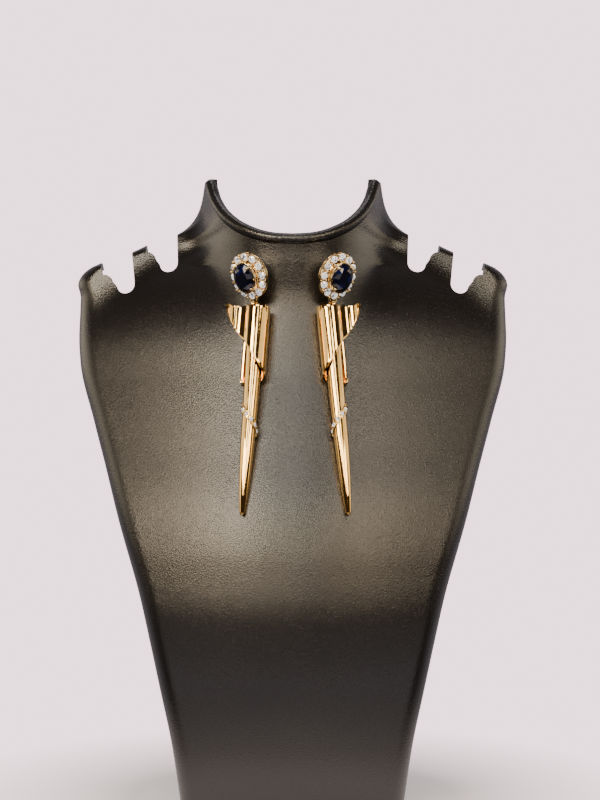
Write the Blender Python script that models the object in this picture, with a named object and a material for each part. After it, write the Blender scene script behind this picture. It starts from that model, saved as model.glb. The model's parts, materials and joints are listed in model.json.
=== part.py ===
"""A pair of dangle earrings hung on a hollow neck bust.

Metres, +Z up, the front towards -Y. Left and right are the viewer's.
"""

import math

import bmesh
import bpy
from mathutils import Matrix, Vector

MM = 0.001
UP = Vector((0, 0, 1))

# Bust
bust_height = 212.0 * MM
bust_half_width = 76.8 * MM
bust_depth = 70.0 * MM
bust_wall = 2.4 * MM
edge_round = 6.0 * MM
chest_centre_radius = 70.0 * MM
chest_side_drop = 24.0 * MM
neck_depth = 34.0 * MM
neck_blend = 8.0 * MM
lip_radius = 2.1 * MM
neckline_drop = 21.0 * MM

# Chain notches
notch_mouth = 0.1172 * bust_half_width
notch_foot = 0.0859 * bust_half_width
notch_depth = 0.1107 * bust_half_width
notch_flare = 0.0391 * bust_half_width

# Stud cluster
cluster_yaw = 35.0
cluster_droop = 20.0
halo_long = 6.7 * MM
halo_short = 5.75 * MM
halo_count = 12
halo_stone_radius = 1.27 * MM
plate_rim = 0.28 * MM
plate_thickness = 1.3 * MM
gallery_depth = 3.0 * MM
gallery_wall = 0.8 * MM
gallery_taper = 0.78
back_bar_width = 2.4 * MM
back_bar_thickness = 0.7 * MM
bead_radius = 0.42 * MM
centre_long = 5.0 * MM
centre_short = 4.0 * MM
centre_lift = 2.9 * MM
basket_wall = 0.45 * MM
claw_radius = 0.42 * MM
claw_ball_radius = 0.55 * MM
post_radius = 0.4 * MM
post_inside = 1.2 * MM
post_hole_clearance = 0.15 * MM
seat_gap = 0.1 * MM

# Fixed loop and hinge
loop_wire_radius = 0.35 * MM
loop_half_width = 1.05 * MM
loop_corner = 0.5 * MM
bail_inner_radius = 1.0 * MM
bail_thickness = 0.5 * MM
bail_width = 1.0 * MM
bail_clearance = 0.12 * MM

# Drop
rim_below_hinge = 1.5 * MM
drop_length = 71.4 * MM
cone_top_radius = 3.3 * MM
tip_radius = 0.9 * MM
tube_radius = 4.25 * MM
wrap_wall = 0.8 * MM
wrap_depth = 27.5 * MM
wing_reach = 6.9 * MM
cap_recess = 0.3 * MM
cap_thickness = 0.8 * MM
bail_offset = 1.45 * MM
rest_clearance = 0.4 * MM
lean_step = 0.1

# Band of small stones
band_width = 1.9 * MM
band_rise = 0.4 * MM
band_start = 34.4 * MM
band_fall = 9.6 * MM
band_start_angle = -90.0
band_end_angle = 110.0
pave_count = 5
pave_stone_radius = 0.7 * MM
pave_first_angle = -56.0
pave_last_angle = 86.0
pave_bead_radius = 0.2 * MM

# Half width of the bust at each height, as shares of bust_half_width and bust_height.
SILHOUETTE = (
    {"height": 0.000, "width": 0.480},
    {"height": 0.091, "width": 0.515},
    {"height": 0.181, "width": 0.567},
    {"height": 0.258, "width": 0.615},
    {"height": 0.327, "width": 0.662},
    {"height": 0.443, "width": 0.765},
    {"height": 0.524, "width": 0.832},
    {"height": 0.599, "width": 0.897},
    {"height": 0.695, "width": 0.974},
    {"height": 0.750, "width": 0.987},
    {"height": 0.806, "width": 0.986},
    {"height": 0.828, "width": 1.000},
    {"height": 0.842, "width": 0.985},
    {"height": 0.860, "width": 0.925},
    {"height": 0.883, "width": 0.745},
    {"height": 0.900, "width": 0.650},
    {"height": 0.914, "width": 0.525},
    {"height": 0.942, "width": 0.449},
    {"height": 0.964, "width": 0.426},
    {"height": 1.000, "width": 0.410},
)

# How far the middle of the chest stands in front of the open back, as shares of bust_depth.
CHEST = (
    {"height": 0.000, "reach": 0.929},
    {"height": 0.095, "reach": 0.976},
    {"height": 0.212, "reach": 1.000},
    {"height": 0.283, "reach": 0.989},
    {"height": 0.378, "reach": 0.940},
    {"height": 0.457, "reach": 0.874},
    {"height": 0.566, "reach": 0.749},
    {"height": 0.661, "reach": 0.643},
    {"height": 0.745, "reach": 0.550},
    {"height": 0.812, "reach": 0.443},
    {"height": 0.868, "reach": 0.314},
    {"height": 0.926, "reach": 0.120},
    {"height": 1.000, "reach": -0.200},
)
NECK_REACH = 0.543
NECK_WIDTH = 0.4036
NECKLINE_WIDTH = 0.375

# The rolled neckline seen from the front: shares of its half width, and of neckline_drop below the tips.
NECKLINE = (
    {"side": 0.00, "down": 1.000},
    {"side": 0.16, "down": 0.990},
    {"side": 0.33, "down": 0.950},
    {"side": 0.60, "down": 0.795},
    {"side": 0.80, "down": 0.570},
    {"side": 0.93, "down": 0.290},
    {"side": 1.00, "down": 0.000},
)

# Chain notches of one shoulder: foot as shares of bust_half_width and bust_height, and the outward tilt in degrees.
NOTCHES = (
    {"side": 0.564, "foot": 0.846, "tilt": 8.0},
    {"side": 0.759, "foot": 0.811, "tilt": 12.0},
)

# Each earring: where its halo plate is centred, as shares of bust_half_width and bust_height, and its sideways lean.
EARRINGS = (
    {"name": "left", "sign": -1, "side": 0.1927, "height": 0.8297, "lean": 4.0},
    {"name": "right", "sign": 1, "side": 0.2005, "height": 0.8297, "lean": 5.2},
)
cluster_stand_off = 10.0 * MM
hinge_behind = 0.1 * MM
hinge_below_edge = 1.4 * MM

# Radius of the spike down its length, as shares of cone_top_radius and drop_length.
SPIKE = (
    {"down": 0.00, "radius": 1.00},
    {"down": 0.18, "radius": 0.92},
    {"down": 0.34, "radius": 0.83},
    {"down": 0.43, "radius": 0.79},
    {"down": 0.52, "radius": 0.74},
    {"down": 0.63, "radius": 0.72},
    {"down": 0.74, "radius": 0.65},
    {"down": 0.84, "radius": 0.54},
    {"down": 0.94, "radius": 0.39},
)

# Lower edge of the wrap: angle round the tube from the front towards the bust's middle, and share of wrap_depth.
WRAP_EDGE = (
    {"angle": -64.0, "down": 0.445},
    {"angle": -17.0, "down": 0.600},
    {"angle": 18.0, "down": 0.722},
    {"angle": 53.0, "down": 0.798},
    {"angle": 90.0, "down": 0.865},
    {"angle": 160.0, "down": 0.935},
    {"angle": 230.0, "down": 0.985},
    {"angle": 256.0, "down": 0.950},
)

# The flared wing, from its tip to the tube: shares of wing_reach sideways and backwards, and of wrap_depth down.
WING = (
    {"out": 1.00, "back": -0.12, "down": 0.020},
    {"out": 0.92, "back": 0.00, "down": 0.115},
    {"out": 0.76, "back": 0.11, "down": 0.210},
    {"out": 0.56, "back": 0.18, "down": 0.285},
    {"out": 0.34, "back": 0.17, "down": 0.355},
    {"out": 0.14, "back": 0.09, "down": 0.412},
)


def read(table, key, at, value):
    """Smooth value of a table's column at a place along its key column."""
    first, last = table[0], table[-1]
    if at <= first[key]:
        return first[value]
    if at >= last[key]:
        return last[value]
    i = max(n for n, row in enumerate(table[:-1]) if row[key] <= at)
    low, high = table[i], table[i + 1]
    span = high[key] - low[key]
    rise = (high[value] - low[value]) / span

    def slope(n):
        if n == 0 or n == len(table) - 1:
            return rise
        before = (table[n][value] - table[n - 1][value]) / (table[n][key] - table[n - 1][key])
        after = (table[n + 1][value] - table[n][value]) / (table[n + 1][key] - table[n][key])
        return 0.0 if before * after <= 0 else 2 * before * after / (before + after)

    t = (at - low[key]) / span
    a, b = slope(i) * span, slope(i + 1) * span
    step = high[value] - low[value]
    return low[value] + a * t + (3 * step - 2 * a - b) * t**2 + (a + b - 2 * step) * t**3


def material(name, colour, metallic, roughness):
    made = bpy.data.materials.new(name)
    made.use_nodes = True
    shader = made.node_tree.nodes["Principled BSDF"]
    shader.inputs["Base Color"].default_value = (*colour, 1)
    shader.inputs["Metallic"].default_value = metallic
    shader.inputs["Roughness"].default_value = roughness
    return made


def add_object(name, mesh_data, look, matrix=None, parent=None):
    mesh = bpy.data.meshes.new(name)
    bmesh.ops.remove_doubles(mesh_data, verts=mesh_data.verts, dist=1e-6)
    bmesh.ops.recalc_face_normals(mesh_data, faces=mesh_data.faces)
    mesh_data.to_mesh(mesh)
    mesh_data.free()
    mesh.materials.append(look)
    mesh.shade_smooth()
    mesh.set_sharp_from_angle(angle=math.radians(35))
    made = bpy.data.objects.new(name, mesh)
    bpy.context.scene.collection.objects.link(made)
    if parent:
        made.parent = parent
    if matrix:
        made.matrix_local = matrix
    return made


def helper(name, mesh_data, matrix=None):
    """A cutter or an addition that a Boolean takes, and that isn't a piece itself."""
    made = add_object(name, mesh_data, looks["gold"], matrix)
    made.hide_render = True
    made.display_type = "WIRE"
    return made


def boolean(target, other, operation, solver="EXACT"):
    step = target.modifiers.new(other.name, "BOOLEAN")
    step.operation = operation
    step.solver = solver
    step.object = other


def loft(rings, closed=False):
    """A solid through rings of as many points each, capped at both ends or closed round."""
    mesh = bmesh.new()
    loops = []
    for ring in rings:
        loops.append([mesh.verts.new(point) for point in ring])
    pairs = list(zip(loops, loops[1:]))
    if closed:
        pairs.append((loops[-1], loops[0]))
    for lower, upper in pairs:
        for i in range(len(lower)):
            j = (i + 1) % len(lower)
            mesh.faces.new((lower[i], lower[j], upper[j], upper[i]))
    if not closed:
        mesh.faces.new(reversed(loops[0]))
        mesh.faces.new(loops[-1])
    return mesh


def tube(path, radius, sides, start=None, domed=False):
    """A round bar along a path, its rings square to it, with domed or flat ends."""
    sizes = [1.0] * len(path)
    if domed:
        first = (path[0] - path[1]).normalized() * radius
        last = (path[-1] - path[-2]).normalized() * radius
        path = [path[0] + first * 0.9, path[0] + first * 0.6] + path + [path[-1] + last * 0.6, path[-1] + last * 0.9]
        sizes = [0.44, 0.8] + sizes + [0.8, 0.44]
    rings = []
    across = (start or UP).copy()
    for i, point in enumerate(path):
        ahead = (path[min(i + 1, len(path) - 1)] - path[max(i - 1, 0)]).normalized()
        across = (across - ahead * across.dot(ahead)).normalized()
        other = ahead.cross(across)
        turns = [math.tau * n / sides for n in range(sides)]
        wide = radius * sizes[i]
        rings.append([point + (across * math.cos(a) + other * math.sin(a)) * wide for a in turns])
    return loft(rings)


def ellipse(long, short, height, count, turn=0.0):
    turns = [math.tau * (n + turn) / count for n in range(count)]
    return [Vector((short * math.cos(a), long * math.sin(a), height)) for a in turns]


# Bust shell


def half_width(height):
    return bust_half_width * read(SILHOUETTE, "height", height / bust_height, "width")


def smooth_least(a, b, blend):
    near = max(blend - abs(a - b), 0) / blend
    return min(a, b) - near * near * blend / 4


def chest_front(x, z):
    """Y of the bust's front surface, before its edges turn back."""
    wide = bust_half_width
    share = chest_side_drop / (wide * wide - 2 * chest_centre_radius * chest_side_drop)
    share *= chest_side_drop
    hollow = chest_centre_radius * share
    across = math.sqrt(hollow * hollow + share * x * x) - hollow
    chest = bust_depth / 2 - bust_depth * read(CHEST, "height", z / bust_height, "reach") + across
    side = min(abs(x) / (NECK_WIDTH * bust_half_width), 0.995)
    neck = bust_depth / 2 - bust_depth * NECK_REACH + neck_depth * (1 - math.sqrt(1 - side * side))
    deepest = bust_depth / 2 - 1.3 * edge_round
    return smooth_least(smooth_least(chest, neck, neck_blend), deepest, neck_blend)


def bust_ring(z, inset, across, rolled, back):
    """One level of the bust: its front from side to side, the rounded edges and the straight back."""
    wide = half_width(z)
    if inset:
        wide = min(wide, half_width(min(z + inset, bust_height))) - inset
    turn = max(edge_round - inset, bust_wall)
    flat = wide - turn
    grow = half_width(z) / wide
    right = []
    for n in range(across + 1):
        x = flat * n / across
        right.append((x, chest_front(x * grow, z) + inset))
    for n in range(1, rolled + 1):
        a = math.pi / 2 * n / rolled
        x = flat + turn * math.sin(a)
        right.append((x, chest_front(x * grow, z) + inset + turn * (1 - math.cos(a))))
    right.append((wide, back))
    left = [(-x, y) for x, y in right[:0:-1]]
    return [Vector((x, y, z)) for x, y in left + right]


def levels(chest_rows, shoulder_rows):
    """Heights for the bust's rings: even up the chest, closer over the shoulders."""
    shoulder = 0.77
    low = [bust_height * shoulder * n / chest_rows for n in range(chest_rows)]
    high = [bust_height * (shoulder + (1 - shoulder) * n / shoulder_rows) for n in range(shoulder_rows + 1)]
    return low + high


def make_bust():
    back = bust_depth / 2
    outer = [bust_ring(z, 0, 9, 4, back) for z in levels(10, 20)]
    shell = add_object("bust_shell", loft(outer), looks["plastic"])
    inner = [bust_ring(z, bust_wall, 7, 3, back + bust_wall) for z in levels(8, 14)]
    floor = [point - UP * bust_wall for point in inner[0]]
    boolean(shell, helper("bust_inside", loft([floor] + inner)), "DIFFERENCE")

    front = []
    reach = NECKLINE_WIDTH * bust_half_width
    for side in (-1, 1):
        rows = NECKLINE[::-1] if side < 0 else NECKLINE[1:]
        for row in rows:
            x = side * row["side"] * reach
            z = bust_height - lip_radius - row["down"] * neckline_drop
            front.append((x, z))
    outline = [(-reach, bust_height + bust_wall)] + front
    outline.append((reach, bust_height + bust_wall))
    deep = bust_depth
    ends = [[Vector((x, y, z)) for x, z in outline] for y in (-deep, deep)]
    boolean(shell, helper("neckline_cut", loft(ends)), "DIFFERENCE")

    lip = []
    for x, z in front:
        y = chest_front(x, z) + bust_wall / 2
        lip.append(Vector((x, min(y, back - lip_radius), z)))
    lip = smooth_path(lip, 3)
    rolled = helper("neck_lip", tube(lip, lip_radius, 8, Vector((0.3, 1, 0.2)), domed=True))
    boolean(shell, rolled, "UNION", "MANIFOLD")

    for number, row in enumerate(NOTCHES, 1):
        for side in (-1, 1):
            cutter = helper(f"notch_{number}_{side}", notch_cutter(side))
            turn = Matrix.Rotation(math.radians(row["tilt"]) * side, 4, "Y")
            x = side * row["side"] * bust_half_width
            place = Matrix.Translation((x, bust_depth / 4, row["foot"] * bust_height))
            cutter.matrix_local = place @ turn
            boolean(shell, cutter, "DIFFERENCE")
    return shell


def notch_cutter(side):
    """A slot with a rounded foot at z = 0, running front to back. Its outer corner flares at the mouth."""
    foot, mouth = notch_foot / 2, notch_mouth / 2
    outline = [(-mouth, 2 * notch_depth)]
    for n in range(7):
        a = math.pi * n / 6
        outline.append((-foot * math.cos(a), foot * (1 - math.sin(a))))
    for n in range(4):
        a = math.pi / 2 * n / 3
        outline.append((mouth + notch_flare * (1 - math.cos(a)), notch_depth - notch_flare * (1 - math.sin(a))))
    outline.append((mouth + notch_flare, 2 * notch_depth))
    return loft([[Vector((side * x, y, z)) for x, z in outline] for y in (-bust_depth / 2, bust_depth / 2)])


def smooth_path(points, steps):
    """A smooth curve through the points, with this many steps between two of them."""
    made = []
    for i in range(len(points) - 1):
        a, b = points[max(i - 1, 0)], points[i]
        c, d = points[i + 1], points[min(i + 2, len(points) - 1)]
        for n in range(steps):
            t = n / steps
            made.append(b + (c - a) * t / 2 + (a - b * 2.5 + c * 2 - d / 2) * t**2 + (b * 1.5 - c * 1.5 + (d - a) / 2) * t**3)
    made.append(points[-1])
    return made


# Stones


def cut_stone(long, short, sides, table, crown, girdle, pavilion):
    """A cut stone with its girdle's top at z = 0: a flat table, sloping facets and a point below."""
    rings = [
        ellipse(long * 0.03, short * 0.03, -girdle - pavilion, sides),
        ellipse(long, short, -girdle, sides),
        ellipse(long, short, 0, sides),
        ellipse(long * table, short * table, crown, sides),
    ]
    return loft(rings)


# Stud cluster


def halo_turn(number):
    """Angle round the halo for this stone, the first at the top, with even steps along the ellipse."""
    even = math.pi / 2 + math.tau * number / halo_count
    flatness = (halo_long - halo_short) / (halo_long + halo_short)
    return even - flatness / 2 * math.sin(2 * even)


def halo_point(turn, grow, height):
    return Vector(((halo_short + grow) * math.cos(turn), (halo_long + grow) * math.sin(turn), height))


def plate_size():
    reach = halo_stone_radius + plate_rim
    return halo_long + reach, halo_short + reach


def make_cluster(earring, frame, hinge):
    """The soldered stud. Its frame has +Z out of the halo plate and +Y up along it."""
    name = earring["name"]
    long, short = plate_size()
    plate = [ellipse(long, short, z, 24) for z in (-plate_thickness, 0)]
    setting = add_object(f"{name}_cluster_setting", loft(plate), looks["gold"], frame)

    def add(part, mesh_data, operation="UNION", matrix=frame):
        boolean(setting, helper(f"{name}_{part}", mesh_data, matrix), operation)

    inside = plate_thickness / 2
    wall = [ellipse(long, short, -inside, 24)]
    wall.append(ellipse(long * gallery_taper, short * gallery_taper, -gallery_depth, 24))
    add("gallery", loft(wall[::-1]))
    hollow = [ellipse(long - gallery_wall, short - gallery_wall, -plate_thickness, 24)]
    taper = gallery_taper
    hollow.append(ellipse(long * taper - gallery_wall, short * taper - gallery_wall, -gallery_depth - inside, 24))
    add("gallery_hollow", loft(hollow[::-1]), "DIFFERENCE")

    foot = 0.72
    cup_height = centre_lift - seat_gap * 6
    rim_long, rim_short = centre_long + basket_wall, centre_short + basket_wall
    basket = [ellipse(rim_long * foot, rim_short * foot, -inside, 20), ellipse(rim_long, rim_short, cup_height, 20)]
    add("basket", loft(basket))
    deep = plate_thickness + inside
    slope = (1 - foot) / (cup_height + inside)
    cup = []
    for height in (-deep, cup_height + inside):
        share = 1 - slope * (cup_height - height)
        cup.append(ellipse(rim_long * share - basket_wall, rim_short * share - basket_wall, height, 20))
    add("basket_hollow", loft(cup), "DIFFERENCE")

    bar = bmesh.new()
    size = Matrix.Diagonal((back_bar_width, 2 * (long * taper - gallery_wall / 2), back_bar_thickness, 1))
    bmesh.ops.create_cube(bar, size=1, matrix=Matrix.Translation((0, 0, -gallery_depth + back_bar_thickness / 2)) @ size)
    add("back_bar", bar)

    claws = bmesh.new()
    for number in range(4):
        turn = math.tau * (number + 0.5) / 4
        edge = Vector((centre_short * math.cos(turn), centre_long * math.sin(turn), 0))
        out = edge.normalized()
        high = centre_lift + 0.75 * MM
        wire = edge + out * (claw_radius + seat_gap * 1.5)
        path = [edge * foot + UP * -inside, wire + UP * centre_lift * 0.75, wire + UP * centre_lift, edge + out * 0.25 * MM + UP * high]
        merge(claws, tube(path, claw_radius, 6, out))
    add("claws", claws)
    balls = bmesh.new()
    for number in range(4):
        turn = math.tau * (number + 0.5) / 4
        edge = Vector((centre_short * math.cos(turn), centre_long * math.sin(turn), 0))
        centre = edge + edge.normalized() * 0.1 * MM + UP * (centre_lift + 0.85 * MM)
        bmesh.ops.create_uvsphere(balls, u_segments=8, v_segments=6, radius=claw_ball_radius, matrix=Matrix.Translation(centre))
    add("claw_balls", balls)

    seats = bmesh.new()
    beads = bmesh.new()
    for number in range(halo_count):
        centre = halo_point(halo_turn(number), 0, 0)
        top = halo_stone_radius + seat_gap
        seat = [ellipse(top * 0.3, top * 0.3, -plate_thickness * 0.9, 10), ellipse(top, top, 0, 10), ellipse(top, top, bead_radius * 2, 10)]
        merge(seats, loft([[point + centre for point in ring] for ring in seat]))
        between = halo_turn(number + 0.5)
        centre = halo_point(between, halo_stone_radius * 0.62, bead_radius * 0.35)
        bmesh.ops.create_uvsphere(beads, u_segments=6, v_segments=4, radius=bead_radius, matrix=Matrix.Translation(centre))
    add("halo_seats", seats, "DIFFERENCE")
    add("halo_beads", beads)

    inward = frame.to_3x3() @ Vector((0, 0, -1))
    start = frame.translation + inward * (gallery_depth - back_bar_thickness / 2)
    length = 0
    while True:
        tip = frame.translation + inward * length
        if tip.y > chest_front(tip.x, tip.z) or length > bust_depth:
            break
        length += 0.05 * MM
    entry = frame.translation + inward * length
    end = entry + inward * (bust_wall / max(inward.y, 0.5) + post_inside)
    add("post", tube([start, end], post_radius, 8), matrix=None)

    axis = hinge.to_3x3() @ Vector((1, 0, 0))
    down = [Vector((-loop_half_width, 0, hinge_below_edge + plate_thickness))]
    bend = loop_half_width - loop_corner
    for n in range(4):
        a = math.pi / 2 * n / 3
        down.append(Vector((-bend - loop_corner * math.cos(a), 0, loop_corner * (1 - math.sin(a)))))
    path = down + [Vector((-point.x, 0, point.z)) for point in reversed(down)]
    origin = hinge.translation
    path = [origin + axis * point.x + UP * point.z for point in path]
    add("loop", tube(path, loop_wire_radius, 6, axis), matrix=None)
    return setting, entry, inward


def merge(target, other):
    """Adds another mesh's bodies to this one."""
    held = bpy.data.meshes.new("held")
    other.to_mesh(held)
    other.free()
    target.from_mesh(held)
    bpy.data.meshes.remove(held)


# Drop


def spike_radius(down):
    return cone_top_radius * read(SPIKE, "down", down / drop_length, "radius")


def round_tube(angle, radius, down, sign):
    """A point round the drop's axis: angle 0 faces the viewer and grows towards the bust's middle."""
    a = math.radians(angle)
    return Vector((-sign * radius * math.sin(a), -radius * math.cos(a), -down))


def wrap_columns(sign):
    """The wrap sheet's middle line seen from above, with how far each place of it reaches down."""
    middle = tube_radius - wrap_wall / 2
    joint = round_tube(WRAP_EDGE[0]["angle"], middle, 0, sign)
    places = []
    for row in WING:
        point = joint + Vector((sign * row["out"], row["back"], 0)) * wing_reach
        places.append((point, row["down"] * wrap_depth))
    first, last = WRAP_EDGE[0]["angle"], WRAP_EDGE[-1]["angle"]
    count = 18
    for n in range(count + 1):
        angle = first + (last - first) * n / count
        down = read(WRAP_EDGE, "angle", angle, "down") * wrap_depth
        places.append((round_tube(angle, middle, 0, sign), down))
    return places


def make_wrap(sign):
    """The flared sheet: each column runs from the rim to the lower edge, with its wall to both sides."""
    places = wrap_columns(sign)
    rings = []
    for i, (point, down) in enumerate(places):
        ahead = (places[min(i + 1, len(places) - 1)][0] - places[max(i - 1, 0)][0]).normalized()
        out = ahead.cross(UP) * wrap_wall / 2
        front = [point + out - UP * down * n / 2 for n in range(3)]
        behind = [point - out - UP * down * n / 2 for n in range(3)]
        rings.append(front + behind[::-1])
    return loft(rings)


def band_place(angle):
    share = (angle - band_start_angle) / (band_end_angle - band_start_angle)
    return band_start + band_fall * share


def band_frame(angle, rise, sign):
    """Place on the band's middle line, with its way out, along and across."""
    down = band_place(angle)
    here = round_tube(angle, spike_radius(down) + rise, down, sign)
    down = band_place(angle + 1)
    ahead = round_tube(angle + 1, spike_radius(down) + rise, down, sign)
    out = round_tube(angle, 1, 0, sign)
    along = (ahead - here).normalized()
    return here, out, along, out.cross(along).normalized()


def pave_places():
    step = (pave_last_angle - pave_first_angle) / (pave_count - 1)
    return [pave_first_angle + step * n for n in range(pave_count)]


def make_drop(earring, frame):
    """The soldered spike. Its frame starts on the hinge, with -Z down the spike."""
    name, sign = earring["name"], earring["sign"]
    body = spike_frame(frame, sign)
    local = frame.inverted() @ body
    top = cap_recess + cap_thickness / 2
    rings = []
    for row in SPIKE:
        down = max(row["down"] * drop_length, top)
        rings.append(ellipse(spike_radius(down), spike_radius(down), -down, 14))
    low = drop_length - tip_radius
    for n in range(3):
        a = math.radians(10 + 35 * n)
        rings.append(ellipse(tip_radius * math.cos(a), tip_radius * math.cos(a), -low - tip_radius * math.sin(a), 14))
    drop = add_object(f"{name}_drop", loft(rings[::-1]), looks["gold"], frame)
    drop.data.transform(local)

    def add(part, mesh_data, operation="UNION", matrix=body):
        boolean(drop, helper(f"{name}_drop_{part}", mesh_data, matrix), operation)

    add("wrap", make_wrap(sign))
    radius = tube_radius - wrap_wall / 2
    cap = [ellipse(radius, radius, -cap_recess - thick, 16) for thick in (cap_thickness, 0)]
    add("cap", loft(cap))

    half = band_width / 2
    strip = []
    steps = 14
    for n in range(steps + 1):
        angle = band_start_angle + (band_end_angle - band_start_angle) * n / steps
        here, out, along, across = band_frame(angle, 0, sign)
        low, high = out * -0.45 * MM, out * band_rise
        strip.append([here + low - across * half, here + high - across * half, here + high + across * half, here + low + across * half])
    add("band", loft(strip))
    seats = bmesh.new()
    beads = bmesh.new()
    places = pave_places()
    step = places[1] - places[0]
    for number, angle in enumerate(places):
        here, out, along, across = band_frame(angle, band_rise, sign)
        turned = stone_matrix(here, out, along)
        top = pave_stone_radius + seat_gap * 0.8
        seat = [ellipse(top * 0.3, top * 0.3, -0.6 * MM, 8), ellipse(top, top, -0.1 * MM, 8), ellipse(top, top, band_rise, 8)]
        merge(seats, loft([[turned @ point for point in ring] for ring in seat]))
        for near in (-0.5, 0.5) if number == 0 else (0.5,):
            here, out, along, across = band_frame(angle + step * near, band_rise, sign)
            for side in (-0.6, 0.6):
                centre = here + across * half * side
                bmesh.ops.create_uvsphere(beads, u_segments=6, v_segments=4, radius=pave_bead_radius, matrix=Matrix.Translation(centre))
    add("pave_seats", seats, "DIFFERENCE")
    add("pave_beads", beads)

    middle = bail_inner_radius - loop_wire_radius - bail_clearance
    ring = []
    for n in range(14):
        a = math.tau * n / 14
        section = []
        for width, thick in ((-1, 0), (1, 0), (1, 1), (-1, 1)):
            radius = (bail_inner_radius + bail_thickness * thick) / math.cos(math.pi / 14)
            section.append(Vector((width * bail_width / 2, radius * math.cos(a), radius * math.sin(a) - middle)))
        ring.append(section)
    # The bail lies in the plane square to the hinge, which the drop's frame has as its own X.
    add("bail", loft(ring, closed=True), matrix=frame)
    for number, angle in enumerate(places, 1):
        here, out, along, across = band_frame(angle, band_rise, sign)
        stone = cut_stone(pave_stone_radius, pave_stone_radius, 8, 0.6, 0.24 * MM, 0.06 * MM, 0.42 * MM)
        matrix = local @ stone_matrix(here, out, along)
        add_object(f"{name}_pave_stone_{number}", stone, looks["clear"], matrix, parent=drop)
    return drop


def stone_matrix(origin, out, along):
    """A frame with +Z out of the metal, its girdle just above the seat's edge."""
    side = out.cross(along).normalized()
    forward = side.cross(out).normalized()
    turned = Matrix((forward, side, out)).transposed().to_4x4()
    return Matrix.Translation(origin) @ turned


# Placing


def cluster_frame(earring):
    sign = earring["sign"]
    yaw, droop = math.radians(cluster_yaw), math.radians(cluster_droop)
    heading = Vector((sign * math.sin(yaw), -math.cos(yaw), 0))
    out = heading * math.cos(droop) - UP * math.sin(droop)
    high = heading * math.sin(droop) + UP * math.cos(droop)
    side = high.cross(out)
    turned = Matrix((side, high, out)).transposed().to_4x4()
    x, z = sign * earring["side"] * bust_half_width, earring["height"] * bust_height
    return Matrix.Translation((x, chest_front(x, z) - cluster_stand_off, z)) @ turned


def resting_direction(earring, place):
    """Down the spike as it rests: leant forward just so far that it clears the chest all the way down."""
    sign = earring["sign"]
    forward = 0.0
    clear = -1.0
    while clear < rest_clearance and forward < 60:
        forward += lean_step
        side, front = math.tan(math.radians(earring["lean"])), math.tan(math.radians(forward))
        down = Vector((sign * side, -front, -1)).normalized()
        gaps = []
        for row in SPIKE:
            reach = row["down"] * drop_length
            radius = tube_radius if reach < wrap_depth else spike_radius(reach)
            here = place + down * (reach + rim_below_hinge)
            gaps.append(chest_front(here.x, here.z) - here.y - radius)
        clear = min(gaps)
    return down


def hinge_frame(earring, cluster):
    """On the low wire of the fixed loop: X along the hinge, -Z down the hanging spike."""
    edge = cluster @ Vector((0, -plate_size()[0], -hinge_behind - loop_wire_radius))
    place = edge - UP * hinge_below_edge
    down = resting_direction(earring, place)
    level = Vector((down.x, down.y, 0)).normalized()
    axis = Vector((-level.y, level.x, 0))
    back = (-down).cross(axis)
    turned = Matrix((axis, back, -down)).transposed().to_4x4()
    return Matrix.Translation(place) @ turned


def spike_frame(hinge, sign):
    """At the middle of the rim, with +Z up the spike and -Y to the front. The bail stands off its middle."""
    high = hinge.col[2].to_3d()
    side = (Vector((1, 0, 0)) - high * high.x).normalized()
    turned = Matrix((side, high.cross(side), high)).transposed().to_4x4()
    place = hinge.translation - side * sign * bail_offset - high * rim_below_hinge
    return Matrix.Translation(place) @ turned


for old in list(bpy.data.objects):
    bpy.data.objects.remove(old)

looks = {
    "plastic": material("black grained plastic", (0.022, 0.019, 0.019), 0.0, 0.42),
    "gold": material("polished gold", (0.92, 0.62, 0.30), 1.0, 0.12),
    "blue": material("deep blue stone", (0.01, 0.015, 0.09), 0.0, 0.03),
    "clear": material("clear stone", (0.93, 0.93, 0.95), 0.0, 0.03),
}

shell = make_bust()
for earring in EARRINGS:
    name = earring["name"]
    frame = cluster_frame(earring)
    hinge = hinge_frame(earring, frame)
    setting, entry, inward = make_cluster(earring, frame, hinge)
    hole = tube([entry - inward * 4 * MM, entry + inward * 8 * MM], post_radius + post_hole_clearance, 10)
    boolean(shell, helper(f"{name}_post_hole", hole), "DIFFERENCE", "MANIFOLD")
    stone = cut_stone(centre_long, centre_short, 16, 0.62, 1.3 * MM, 0.25 * MM, 2.9 * MM)
    add_object(f"{name}_centre_stone", stone, looks["blue"], frame @ Matrix.Translation((0, 0, centre_lift)))
    for number in range(halo_count):
        stone = cut_stone(halo_stone_radius, halo_stone_radius, 8, 0.6, 0.42 * MM, 0.12 * MM, 0.85 * MM)
        place = Matrix.Translation(halo_point(halo_turn(number), 0, 0.25 * MM))
        add_object(f"{name}_halo_stone_{number + 1:02d}", stone, looks["clear"], frame @ place)
    make_drop(earring, hinge)
    print(name, "hinge", [round(v, 5) for v in hinge.translation], [round(v, 5) for v in hinge.to_3x3() @ Vector((1, 0, 0))])
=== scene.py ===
import json
import math

import bmesh
import bpy
from mathutils import Matrix, Vector


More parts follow.
